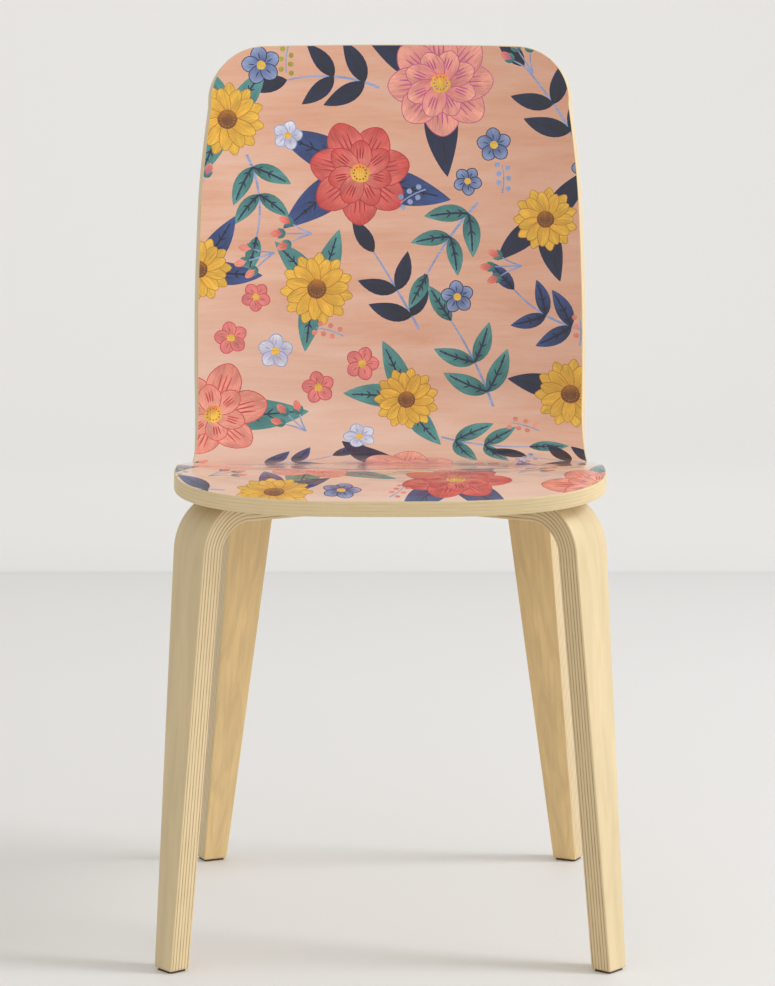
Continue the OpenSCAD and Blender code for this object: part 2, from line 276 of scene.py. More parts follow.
def along(points, width, wobble=0.0):
    """The outline of a stroke through a few chosen points, rounded into a curve."""
    p = np.array([points[0]] + list(points) + [points[-1]], float)
    curve = []
    for i in range(1, len(p) - 2):
        a, b, c, d = p[i - 1], p[i], p[i + 1], p[i + 2]
        for k in range(8):
            t = k / 8
            curve.append(0.5 * (2 * b + (c - a) * t + (2 * a - 5 * b + 4 * c - d) * t**2
                                + (3 * b - a - 3 * c + d) * t**3))
    curve.append(p[-1])
    left, right = [], []
    for i, q in enumerate(curve):
        before, after = curve[max(i - 1, 0)], curve[min(i + 1, len(curve) - 1)]
        d = (after - before) / max(np.linalg.norm(after - before), 1e-6)
        side = np.array([-d[1], d[0]])
        w = width / 2 * width_at("stem", i / (len(curve) - 1)) * (1 + wobble * random.uniform(-1, 1))
        left.append(q + side * w)
        right.append(q - side * w)
    return left + right[::-1]


def blob(centre, radius, points=12, uneven=0.08):
    turn = random.random() * 360
    reach = [radius * (1 + uneven * random.uniform(-1, 1)) for _ in range(points)]
    return [np.array(centre) + direction(turn + 360 * k / points) * reach[k] for k in range(points)]


def stroke(base, angle, length, width, colour, bend=0.0):
    paint(ribbon(base, angle, length, width, "stroke", bend), colour, None, base, angle, length)


def leaf(base, angle, length, width, colours, bend, veins, vein_colour):
    """A leaf with a midrib and pairs of side veins."""
    paint(ribbon(base, angle, length, width, "leaf", bend), colours[0], colours[1], base, angle, length)
    line = centre_line(base, angle, length * 0.86, bend * 0.86, 20)
    paint(along([p for p, _, _ in line[::4]], VEIN_W * 1.5), vein_colour, None, base, angle, length)
    for k in range(veins):
        t = 0.16 + 0.66 * k / max(veins - 1, 1)
        p, heading, _ = line[int(t * 20)]
        reach = width * 0.42 * width_at("leaf", min(1, t + 0.1))
        for sign in (1, -1):
            stroke(p, heading + sign * 38, reach, VEIN_W, vein_colour, bend=-sign * 14)


def grown(points, by):
    """A closed outline moved outward by a distance."""
    p = np.asarray(points, float)
    step = np.roll(p, -1, 0) - np.roll(p, 1, 0)
    step /= np.maximum(np.linalg.norm(step, axis=1), 1e-6)[:, None]
    turn = np.sign(np.sum(p[:, 0] * np.roll(p[:, 1], -1) - p[:, 1] * np.roll(p[:, 0], -1)))
    return p + turn * by * np.stack([step[:, 1], -step[:, 0]], 1)


def daisy(centre, radius, colours, eye):
    """A plain round daisy: two even rings of narrow petals about a central eye."""
    turn = random.random() * 360
    for ring, shift in ((1.0, 0.0), (0.86, 0.5)):
        for k in range(11):
            angle = turn + 360 * (k + shift) / 11
            outline = ribbon(centre, angle, radius * ring, radius * 0.36, "round")
            paint(grown(outline, 0.7), colours[2], None, centre, angle, radius)
            paint(outline, colours[0], colours[1], centre, angle, radius)
    paint(blob(centre, radius * 0.27, 24, 0.03), eye, "amber", centre, 90, radius * 0.3)
    for k in range(14):
        dot = np.array(centre) + direction(360 * k / 14) * radius * 0.19
        paint(blob(dot, radius * 0.02, 6), "amber")


def blossom(centre, radius, colours, heart, turn):
    """A small blossom of five plain rounded petals round its heart."""
    for k in range(5):
        angle = turn + 72 * k
        outline = ribbon(centre, angle, radius, radius * 0.8, "round")
        paint(grown(outline, 0.9), colours[2], None, centre, angle, radius)
        paint(outline, colours[0], colours[1], centre, angle, radius)
        stroke(np.array(centre) + direction(angle) * radius * 0.34, angle, radius * 0.34, 1.1, colours[2])
    paint(blob(centre, radius * 0.24, 14, 0.05), heart)


def bud(base, angle, length, colour):
    """A closed oval bud between two green sepals."""
    paint(ribbon(base, angle, length, length * 0.5, "round"), colour, "coral", base, angle, length)
    for side in (1, -1):
        outline = ribbon(base, angle + side * 30, length * 0.62, length * 0.26, "leaf", -side * 34)
        paint(outline, "teal_deep", "teal", base, angle, length)


def stem(points, width):
    paint(along(points, width, 0.06), "periwinkle", None, points[0], 0, 60)


def rosette(centre, radius, colours, eye, petals):
    """A large flower: two rings of rounded petals with a few veins, round a dotted eye."""
    turn = random.random() * 360
    for ring, shift in ((1.0, 0.0), (0.64, 0.5)):
        for k in range(petals):
            angle = turn + 360 * (k + shift) / petals
            length = radius * ring * random.uniform(0.93, 1.05)
            width, bend = radius * ring * 0.66, random.uniform(-8, 8)
            outline = ribbon(centre, angle, length, width, "round", bend, ragged=0.4)
            paint(grown(outline, 0.9), colours[2], None, centre, angle, length)
            paint(outline, colours[0], colours[1], centre, angle, length)
            for across in (-9, 0, 9):
                first = np.array(centre) + direction(angle + across) * length * 0.42
                stroke(first, angle + across * 0.6, length * 0.38, 1.7, colours[2])
    paint(blob(centre, radius * 0.18, 20, 0.1), eye, "orange", centre, 90, radius * 0.2)
    for k in range(12):
        paint(blob(np.array(centre) + direction(30 * k) * radius * 0.12, radius * 0.018, 6), colours[2])


def spray(base, angle, length, colours, vein_colour, pairs, bend):
    """A curved stem with leaves in pairs and one at its tip."""
    line = centre_line(base, angle, length, bend, 24)
    stem([p for p, _, _ in line[::4]], 2.8)
    for k in range(pairs):
        p, heading, _ = line[int(24 * (0.2 + 0.64 * k / pairs))]
        size = length * (0.5 - 0.05 * k)
        for side in (1, -1):
            leaf(p, heading + side * 46, size, size * 0.4, colours, -side * 16, 3, vein_colour)
    p, heading, _ = line[-1]
    leaf(p, heading, length * 0.44, length * 0.18, colours, 0, 4, vein_colour)


def sprig(base, angle, length, colour):
    """A forked stem with a bud at each end."""
    for turn, share in ((-26, 0.8), (24, 0.86), (0, 1.0)):
        end = np.array(base) + direction(angle + turn) * length * share * 0.62
        stem([base, (np.array(base) + end) / 2 + direction(angle) * 2, end], 1.8)
        bud(end, angle + turn, length * 0.36, colour)


def twig(base, angle, length, colour):
    """A short stem with round berries to each side."""
    line = centre_line(base, angle, length, 24, 12)
    stem([p for p, _, _ in line[::3]], 1.6)
    for k, (p, heading, _) in enumerate(line[2::2]):
        side = 1 if k % 2 else -1
        paint(blob(p + direction(heading + side * 80) * 5, 2.8, 12), colour, None, p, heading, 6)


def spots(count, radius, taken):
    """Seeded places on the flat shell, each clear of the places already taken."""
    found = []
    for _ in range(6000):
        spot = (random.uniform(-SEAT_HALF_W, SEAT_HALF_W), random.uniform(0, SHELL_V))
        if len(found) < count and all(math.dist(spot, p) > radius + r for p, r in taken):
            found.append(spot)
            taken.append((spot, radius))
    return found


def floral():
    """A plain all-over floral, scattered at random: large motifs first, leaves behind flowers."""
    taken = []
    large, middling, sprays = spots(9, 58, taken), spots(7, 38, taken), spots(13, 38, taken)
    small, sprigs, twigs = spots(20, 21, taken), spots(13, 20, taken), spots(12, 12, taken)
    leaves = (("navy_deep", "navy"), "ink"), (("teal_deep", "teal"), "navy"), (("navy", "blue"), "navy_deep")
    for k, spot in enumerate(sprays):
        colours, vein_colour = leaves[k % 3]
        angle = random.uniform(0, 360)
        base = np.array(spot) - direction(angle) * 44
        spray(base, angle, random.uniform(84, 100), colours, vein_colour, 2, random.uniform(-40, 40))
    for k, spot in enumerate(large + middling):
        colours, vein_colour = leaves[(k + 1) % 3]
        size = 98 if k < len(large) else 66
        first = random.uniform(0, 360)
        for turn in (0, 62, 190):
            leaf(spot, first + turn, size, size * 0.36, colours, 12, 5, vein_colour)
    for k, spot in enumerate(large):
        colours = (("coral_light", "coral", "red"), ("coral", "red", "crimson"),
                   ("pink", "coral_light", "magenta"))[k % 3]
        rosette(spot, random.uniform(50, 60), colours, "yellow", 6 + k % 3)
    for spot in middling:
        daisy(spot, random.uniform(32, 38), ("gold", "yellow", "amber"), "umber")
    for k, spot in enumerate(small):
        colours = (("lilac", "pale", "periwinkle"), ("blue", "periwinkle", "navy_deep"),
                   ("coral", "pink", "red"))[k % 3]
        blossom(spot, random.uniform(14, 20), colours, "yellow", random.uniform(0, 72))
    for k, spot in enumerate(sprigs):
        angle = random.uniform(0, 360)
        sprig(np.array(spot) - direction(angle) * 16, angle, 44, ("red", "coral", "magenta")[k % 3])
    for k, spot in enumerate(twigs):
        twig(spot, random.uniform(0, 360), 30, ("periwinkle", "lime_deep", "coral")[k % 3])


def grid_points(step, inside):
    """A staggered grid of flat points, clear of the rim."""
    rows = int(SHELL_V / step)
    out = []
    for j in range(1, rows):
        v = SHELL_V * j / rows
        for x in np.arange(-SEAT_HALF_W + step * (0.5 if j % 2 else 0.25), SEAT_HALF_W, step):
            if front_v(min(abs(x), SEAT_HALF_W - 1)) + inside < v and v > inside:
                if v < SHELL_V - inside and abs(x) < half_w(min(v, SHELL_V - 2)) - inside:
                    if v < top_v(min(abs(x), TOP_HALF_W - 0.5)) - inside:
                        out.append((x, v))
    return out


def within(points, loop):
    """Which points lie inside a closed loop, by counting the edges crossed to their right."""
    inside = np.zeros(len(points), bool)
    x, y = points[:, 0], points[:, 1]
    for (ax, ay), (bx, by) in zip(loop, np.roll(loop, -1, 0)):
        if ay != by:
            crosses = ((ay > y) != (by > y)) & (x < (bx - ax) * (y - ay) / (by - ay) + ax)
            inside ^= crosses
    return inside


def fill(loop, step, painted=()):
    """Triangles that fill a flat loop, and which painted shape is on top in each (-1 for none)."""
    points, edges = [], []
    for ring in [loop] + [shape.points for shape in painted]:
        first, count = len(points), len(ring)
        points += [Vector(p) for p in ring]
        edges += [(first + k, first + (k + 1) % count) for k in range(count)]
    points += [Vector(p) for p in grid_points(step, 3 + EDGE_R)]
    flat, _, tris, *_ = delaunay_2d_cdt(points, edges, [], 0, 1e-4, False)
    flat, tris = np.array([tuple(p) for p in flat]), np.array(tris)
    centres = flat[tris].mean(1)
    keep = within(centres, np.asarray(loop))
    tris, centres = tris[keep], centres[keep]
    order = np.argsort(centres[:, 0])
    xs = centres[order, 0]
    top = np.full(len(tris), -1)
    for index, shape in enumerate(painted):
        low, high = shape.points.min(0), shape.points.max(0)
        near = order[np.searchsorted(xs, low[0]):np.searchsorted(xs, high[0])]
        near = near[(centres[near, 1] > low[1]) & (centres[near, 1] < high[1])]
        if len(near):
            top[near[within(centres[near], shape.points)]] = index
    return flat, tris, top


# ---------------------------------------------------------------------------
# Meshes
# ---------------------------------------------------------------------------
def new_object(name, points, faces, normals=None, smooth_angle=40):
    """A mesh object from points in millimetres."""
    mesh = bpy.data.meshes.new(name)
    mesh.from_pydata((np.asarray(points) * MM).tolist(), [], [list(map(int, f)) for f in faces])
    mesh.validate()
    if normals is not None:
        mesh.normals_split_custom_set_from_vertices(np.asarray(normals).tolist())
    else:
        mesh.shade_smooth()
        mesh.set_sharp_from_angle(angle=math.radians(smooth_angle))
    piece = bpy.data.objects.new(name, mesh)
    bpy.context.scene.collection.objects.link(piece)
    return piece


def set_corners(piece, name, values, kind):
    """Stores one value per face corner, such as a colour or a place on the wood."""
    layer = piece.data.attributes.new(name, kind, "CORNER")
    field = "color" if kind == "FLOAT_COLOR" else "vector"
    layer.data.foreach_set(field, np.asarray(values, np.float32).ravel())


def boundary_loop(tris, start):
    """The one open boundary of a set of triangles, as vertex numbers in order."""
    edges = {(int(t[k]), int(t[(k + 1) % 3])) for t in tris for k in range(3)}
    after = {a: b for a, b in edges if (b, a) not in edges}
    loop = [start if start in after else next(iter(after))]
    while after[loop[-1]] != loop[0]:
        loop.append(after[loop[-1]])
    return loop


def veneer(name, step, outer, inner, painted=()):
    """A closed sheet of veneer: its seen face at one depth, its glued face at another."""
    flat, tris, top = fill(RIM, step, painted)
    used = np.unique(tris)
    renumber = np.full(len(flat), -1)
    renumber[used] = np.arange(len(used))
    flat, tris = flat[used], renumber[tris]
    loop = boundary_loop(tris, 0)
    glue_flat, glue_tris, _ = fill(flat[loop], 14)
    n, m = len(flat), len(loop)
    points = np.vstack([shell_points(flat, outer), shell_points(glue_flat, inner)])
    faces = [tuple(t) for t in tris] + [tuple(t[::-1] + n) for t in glue_tris]
    faces += [(loop[(k + 1) % m], loop[k], n + k, n + (k + 1) % m) for k in range(m)]
    if outer > inner:
        faces = [f[::-1] for f in faces]
    facing = 1 if outer < inner else -1
    normals = np.vstack([normals_at(flat) * facing, -normals_at(glue_flat) * facing])
    piece = new_object(name, points, faces, normals)
    corners = np.array([loop.vertex_index for loop in piece.data.loops])
    flats = np.vstack([flat, glue_flat])[corners]
    set_corners(piece, "flat", np.column_stack([flats, np.zeros(len(flats))]), "FLOAT_VECTOR")
    if painted:
        owner = np.full(len(piece.data.polygons), -1)
        owner[:len(top)] = top
        set_paint(piece, flats, owner, painted)
    return piece


def set_paint(piece, flats, owner, painted):
    """Colours each corner from the shape on top there, and stores which way its brush ran."""
    counts = np.array([p.loop_total for p in piece.data.polygons])
    owners = np.repeat(owner, counts)
    colour = np.tile(np.append(linear("ground"), 0.0), (len(flats), 1))
    brush = np.zeros((len(flats), 3))
    order = np.argsort(owners, kind="stable")
    starts = np.searchsorted(owners[order], np.arange(len(painted) + 1))
    for index, shape in enumerate(painted):
        here = order[starts[index]:starts[index + 1]]
        offset = flats[here] - shape.base
        forward = offset @ shape.axis
        t = np.clip(forward / shape.length, 0, 1)[:, None]
        colour[here, :3] = shape.colours[0] * (1 - t) + shape.colours[1] * t
        colour[here, 3] = 1
        sideways = offset @ np.array([-shape.axis[1], shape.axis[0]])
        brush[here] = np.column_stack([forward, sideways, np.full(len(forward), shape.seed)])
    set_corners(piece, "paint", colour, "FLOAT_COLOR")
    set_corners(piece, "brush", brush, "FLOAT_VECTOR")


def shell_core():
    """The cross-laid core with its eased edges, closed inside by the planes it is glued at."""
    turns = [math.radians(a) for a in range(0, 91, 15)]
    ring = [(EDGE_R, VENEER_T)]
    ring += [(EDGE_R * (1 - math.sin(a)), EDGE_R * (1 - math.cos(a))) for a in turns]
    ring += [(0, d) for d in np.linspace(EDGE_R, SHELL_T - EDGE_R, 7)[1:-1]]
    ring += [(EDGE_R * (1 - math.cos(a)), SHELL_T - EDGE_R * (1 - math.sin(a))) for a in turns]
    ring += [(EDGE_R, SHELL_T - VENEER_T)]
    n = len(OUTLINE)
    flat = np.vstack([OUTLINE + inset * INWARD for inset, _ in ring])
    depth = np.repeat([d for _, d in ring], n)
    points = [shell_points(flat, depth)]
    faces = [(j * n + k, (j + 1) * n + k, (j + 1) * n + (k + 1) % n, j * n + (k + 1) % n)
             for j in range(len(ring) - 1) for k in range(n)]
    first = n * len(ring)
    for at_depth, row, flip in ((VENEER_T, 0, False), (SHELL_T - VENEER_T, len(ring) - 1, True)):
        inner, tris, _ = fill(RIM, 14)
        place = np.concatenate([np.arange(n) + row * n, np.arange(len(inner) - n) + first])
        points.append(shell_points(inner[n:], at_depth))
        faces += [tuple(place[t[::-1]] if flip else place[t]) for t in tris]
        first += len(inner) - n
    piece = new_object("shell_edge", np.vstack(points), faces)
    around = np.concatenate([[0], np.cumsum(np.linalg.norm(np.diff(OUTLINE, axis=0), axis=1))])
    ply = np.zeros((len(piece.data.vertices), 3))
    insets = np.repeat([inset for inset, _ in ring], n)
    ply[:len(depth)] = np.column_stack([depth, np.tile(around, len(ring)), insets])
    corners = np.array([loop.vertex_index for loop in piece.data.loops])
    set_corners(piece, "ply", ply[corners], "FLOAT_VECTOR")
    return piece


# ---------------------------------------------------------------------------
# The legs, each swept along its bent centre line, in millimetres
# ---------------------------------------------------------------------------
LEG_T, LEG_TOP_W, LEG_FOOT_W, LEG_BEND_R, LEG_RUN = 22.5, 50, 26, 31, 140
PAD_T, FULL_W_Z, RUN_END_R = 2, 440, 12
ARRIS, FOOT_R = 1.6, 2.0
FIXINGS, SINK_R, SINK_DEPTH = ((76, 0), (116, -13), (116, 13)), 9, 5.4
# foot across, foot back from the front edge, turn of the leg's plane, lean, rise of the run, its height
LEGS = {"front": (-209.3, 29, 40, 5, -1.5, 453), "rear": (-192.6, 466.4, -65, 15.3, 6, 424.5)}


def leg_stations(leg):
    """Where the sweep's rings go, as distance along and how far their edges are drawn in, and the lengths
    and ends of the leg's parts.
    """
    _, _, _, lean, rise, run_z = leg
    corner = (run_z - LEG_T / 2 / math.cos(math.radians(rise))) / math.cos(math.radians(lean))
    turn = 90 - lean - rise
    radius = LEG_BEND_R + LEG_T / 2
    tangent = radius * math.tan(math.radians(turn / 2))
    straight, bend = corner - tangent, radius * math.radians(turn)
    start, end = PAD_T / math.cos(math.radians(lean)), corner - tangent + bend + LEG_RUN - tangent
    eased = [math.radians(a) for a in range(0, 91, 18)]
    at = [(start + FOOT_R * (1 - math.sin(a)), FOOT_R * (1 - math.cos(a))) for a in reversed(eased)]
    at += [(s, 0) for s in np.linspace(start + 4, straight, 22)]
    at += [(straight + bend * k / 30, 0) for k in range(1, 31)]
    at += [(s, 0) for s in np.linspace(straight + bend, end - RUN_END_R, 6)[1:]]
    at += [(end - RUN_END_R + RUN_END_R * math.sin(a), 0) for a in np.linspace(0, 1.2, 7)[1:]]
    at += [(end - ARRIS + ARRIS * math.sin(a), ARRIS * (1 - math.cos(a))) for a in eased]
    at.sort(key=lambda pair: pair[0])
    return at, straight, bend, radius, start, end, turn


def leg_section(w, t, inset):
    """A rounded rectangle with a point midway along each side, as (across, through the thickness)."""
    half_w_, half_t = w / 2 - inset, t / 2 - inset
    r = max(0.25, min(ARRIS, half_w_, half_t))
    out = []
    for quarter, (sx, sy) in enumerate(((1, 1), (-1, 1), (-1, -1), (1, -1))):
        for k in range(5):
            a = math.radians(90 * quarter + 22.5 * k)
            out.append((sx * (half_w_ - r) + r * math.cos(a), sy * (half_t - r) + r * math.sin(a)))
        out.append(((0, half_t), (-half_w_, 0), (0, -half_t), (half_w_, 0))[quarter])
    return out


def leg_piece(name, leg, mirrored):
    foot_x, foot_y, plane, lean, rise, _ = leg
    at, straight, bend, radius, start, end, turn = leg_stations(leg)
    lean_r = math.radians(lean)
    run_dir, across_dir = direction(plane), direction(plane + 90)
    points, places = [], []
    for s, inset in at:
        heading = 90 - lean - turn * min(1, max(0, (s - straight) / bend))
        tangent, normal = direction(heading), direction(heading + 90)
        if s <= straight:
            centre = direction(90 - lean) * s
        else:
            pivot = direction(90 - lean) * straight - direction(180 - lean) * radius
            arc_s = min(s, straight + bend)
            centre = pivot + direction(heading + 90) * radius
            centre = centre + tangent * (s - arc_s)
        z = min(centre[1], FULL_W_Z)
        w = LEG_FOOT_W + (LEG_TOP_W - LEG_FOOT_W) * z / FULL_W_Z
        if s > straight + bend:
            w = LEG_TOP_W
        past = s - (end - RUN_END_R)
        if past > 0:
            w = w - 2 * RUN_END_R + 2 * math.sqrt(max(0, RUN_END_R**2 - min(past, RUN_END_R) ** 2) + 1e-9)
        share = max(0, 1 - (s - start) / 40)
        for n, h in leg_section(w, LEG_T, inset):
            level = -h * math.tan(lean_r) * share
            p = centre + normal * h + tangent * level
            x = foot_x + run_dir[0] * p[0] + across_dir[0] * n
            y = foot_y + run_dir[1] * p[0] + across_dir[1] * n
            points.append(((-x if mirrored else x), y - MID_Y, p[1]))
            places.append((LEG_T / 2 - h, s + level, n))
    m = len(leg_section(50, 20, 0))
    faces = [(j * m + k, j * m + (k + 1) % m, (j + 1) * m + (k + 1) % m, (j + 1) * m + k)
             for j in range(len(at) - 1) for k in range(m)]
    last = (len(at) - 1) * m
    faces += [tuple(range(m))[::-1], tuple(last + k for k in range(m))]
    if not mirrored:
        faces = [f[::-1] for f in faces]
    piece = new_object(name, points, faces)
    corners = np.array([loop.vertex_index for loop in piece.data.loops])
    set_corners(piece, "ply", np.array(places)[corners], "FLOAT_VECTOR")
    sink_heads(piece, leg, mirrored)
    return piece


def sink_heads(piece, leg, mirrored):
    """Cuts the round recesses under the run that the washers and screw heads sit in."""
    foot_x, foot_y, plane, lean, rise, run_z = leg
    corner_z = run_z - LEG_T / 2 / math.cos(math.radians(rise))
    corner = direction(90 - lean) * corner_z / math.cos(math.radians(lean))
    run_dir, across_dir = direction(plane), direction(plane + 90)
    points, places, faces, count = [], [], [], 40
    for out, over in FIXINGS:
        first = len(points)
        for h in (-LEG_T / 2 - 1, SINK_DEPTH - LEG_T / 2):
            for k in range(count):
                ring = direction(360 * k / count) * SINK_R
                p = corner + direction(rise) * (out + ring[0]) + direction(rise + 90) * h
                n = over + ring[1]
                x = foot_x + run_dir[0] * p[0] + across_dir[0] * n
                y = foot_y + run_dir[1] * p[0] + across_dir[1] * n - MID_Y
                points.append(((-x if mirrored else x), y, p[1]))
                places.append((LEG_T / 2 - h, p[0], n))
        low, high = range(first, first + count), range(first + count, first + 2 * count)
        walls = [(low[k], low[(k + 1) % count], high[(k + 1) % count], high[k]) for k in range(count)]
        ends = [tuple(low)[::-1], tuple(high)]
        faces += [f[::-1] for f in walls + ends] if mirrored else walls + ends
    cutter = new_object("recess", points, faces)
    corners = np.array([loop.vertex_index for loop in cutter.data.loops])
    set_corners(cutter, "ply", np.array(places)[corners], "FLOAT_VECTOR")
    cut = piece.modifiers.new("recess", "BOOLEAN")
    cut.operation, cut.solver, cut.object = "DIFFERENCE", "EXACT", cutter
    shape = piece.evaluated_get(bpy.context.evaluated_depsgraph_get())
    mesh = bpy.data.meshes.new_from_object(shape)
    piece.modifiers.clear()
    piece.data = mesh
    mesh.set_sharp_from_angle(angle=math.radians(40))
    bpy.data.objects.remove(cutter)


# ---------------------------------------------------------------------------
# Materials
# ---------------------------------------------------------------------------
class Look:
    """A material's node tree, with short ways to add and join nodes."""

    def __init__(self, name):
        self.material = bpy.data.materials.new(name)
        self.material.use_nodes = True
        self.tree = self.material.node_tree
        self.surface = self.tree.nodes["Principled BSDF"]

    def add(self, kind, values=(), **settings):
        made = self.tree.nodes.new("ShaderNode" + kind)
        for key, value in settings.items():
            setattr(made, key, value)
        for key, value in dict(values).items():
            self.join(value, made.inputs[key])
        return made

    def join(self, value, socket):
        if isinstance(value, bpy.types.NodeSocket):
            self.tree.links.new(value, socket)
        else:
            socket.default_value = value

    def set(self, **sockets):
        for key, value in sockets.items():
            self.join(value, self.surface.inputs[key.replace("_", " ")])

    def math(self, operation, a, b=0.0, c=0.0):
        return self.add("Math", {0: a, 1: b, 2: c}, operation=operation).outputs[0]

    def attribute(self, name):
        return self.add("Attribute", attribute_name=name)

    def scaled(self, vector, scale, offset=(0, 0, 0)):
        return self.add("Mapping", {"Vector": vector, "Scale": scale, "Location": offset}).outputs[0]

    def noise(self, vector, scale=1.0, detail=3.0, roughness=0.5, distortion=0.0):
        values = {"Vector": vector, "Scale": scale, "Detail": detail, "Roughness": roughness,
                  "Distortion": distortion}
        return self.add("TexNoise", values).outputs[0]

    def ramp(self, factor, *stops):
        made = self.add("ValToRGB", {0: factor})
        elements = made.color_ramp.elements
        while len(elements) < len(stops):
            elements.new(0.5)
        for element, (place, colour) in zip(elements, stops):
            element.position = place
            element.color = (*colour, 1) if isinstance(colour, tuple) else (colour, colour, colour, 1)
        return made.outputs[0]

    def mix(self, factor, a, b, blend="MIX"):
        made = self.add("Mix", data_type="RGBA", blend_type=blend, clamp_result=False)
        for value, key in ((factor, 0), (a, 6), (b, 7)):
            value = (*value, 1) if isinstance(value, tuple) and len(value) == 3 else value
            self.join(value, made.inputs[key])
        return made.outputs[2]

    def between(self, value, low, high, to_low=0.0, to_high=1.0):
        return self.add("MapRange", {0: value, 1: low, 2: high, 3: to_low, 4: to_high}).outputs[0]

    def bump(self, height, strength, distance):
        made = self.add("Bump", {"Height": height, "Strength": strength, "Distance": distance})
        self.join(made.outputs[0], self.surface.inputs["Normal"])


def print_look():
    """Painted floral print on birch, under gloss lacquer, its ground with a painted sheen low down and
    painted shade towards the top right.
    """
    look = Look("printed_lacquer")
    paint_, flat, brush = look.attribute("paint"), look.attribute("flat"), look.attribute("brush")
    place = flat.outputs["Vector"]
    wash = look.noise(look.scaled(place, (0.006, 0.034, 1)), detail=5, roughness=0.6, distortion=0.6)
    streak = look.noise(look.scaled(place, (0.018, 0.22, 1)), detail=3, roughness=0.6)
    ground = look.ramp(wash, (0.15, linear_tuple("ground_deep")), (0.5, linear_tuple("ground")),
                       (0.95, linear_tuple("ground_pale")))
    ground = look.mix(look.between(streak, 0.3, 0.75, 0.03, 0.25), ground, linear_tuple("ground_pale"))
    parts = look.add("SeparateXYZ", {0: place}).outputs
    # The ground is paler over the seat and the foot of the back, a painted sheen where the lacquer faces up
    # to the light. It is deeper towards the top right, partly the print's own wash and partly painted shade.
    rise = look.math("MULTIPLY_ADD", parts[0], 0.5, parts[1])
    ground = look.mix(look.between(rise, 260, 480, 0.6, 0), ground, linear_tuple("ground_pale"))
    ground = look.mix(look.between(rise, 560, 860, 0, 0.5), ground, linear_tuple("ground_deep"))
    hairs = look.noise(look.scaled(brush.outputs["Vector"], (0.07, 0.95, 3.1)), detail=4, roughness=0.62)
    pool = look.noise(look.scaled(brush.outputs["Vector"], (0.05, 0.09, 1.7)), detail=2)
    brushed = look.ramp(hairs, (0.3, 0.72), (0.52, 0.98), (0.72, 1.22))
    inked = look.mix(1.0, paint_.outputs["Color"], brushed, "MULTIPLY")
    inked = look.mix(1.0, inked, look.ramp(pool, (0.32, 0.82), (0.68, 1.14)), "MULTIPLY")
    colour = look.mix(paint_.outputs["Alpha"], ground, inked)
    grain = look.noise(look.scaled(place, (0.03, 1.6, 1)), detail=3, roughness=0.6)
    colour = look.mix(1.0, colour, look.ramp(grain, (0.25, 0.965), (0.6, 1.02)), "MULTIPLY")
    speckle = look.noise(place, scale=0.9, detail=4, roughness=0.7)
    colour = look.mix(1.0, colour, look.ramp(speckle, (0.35, 0.96), (0.65, 1.03)), "MULTIPLY")
    look.set(Base_Color=colour, Coat_Weight=0.85, Coat_Roughness=0.07, Coat_IOR=1.5, Specular_IOR_Level=0.3,
             Roughness=look.between(grain, 0.3, 0.7, 0.36, 0.48))
    look.bump(grain, 0.05, 0.0002)
    return look.material


def linear_tuple(name):
    return tuple(float(c) for c in linear(name))


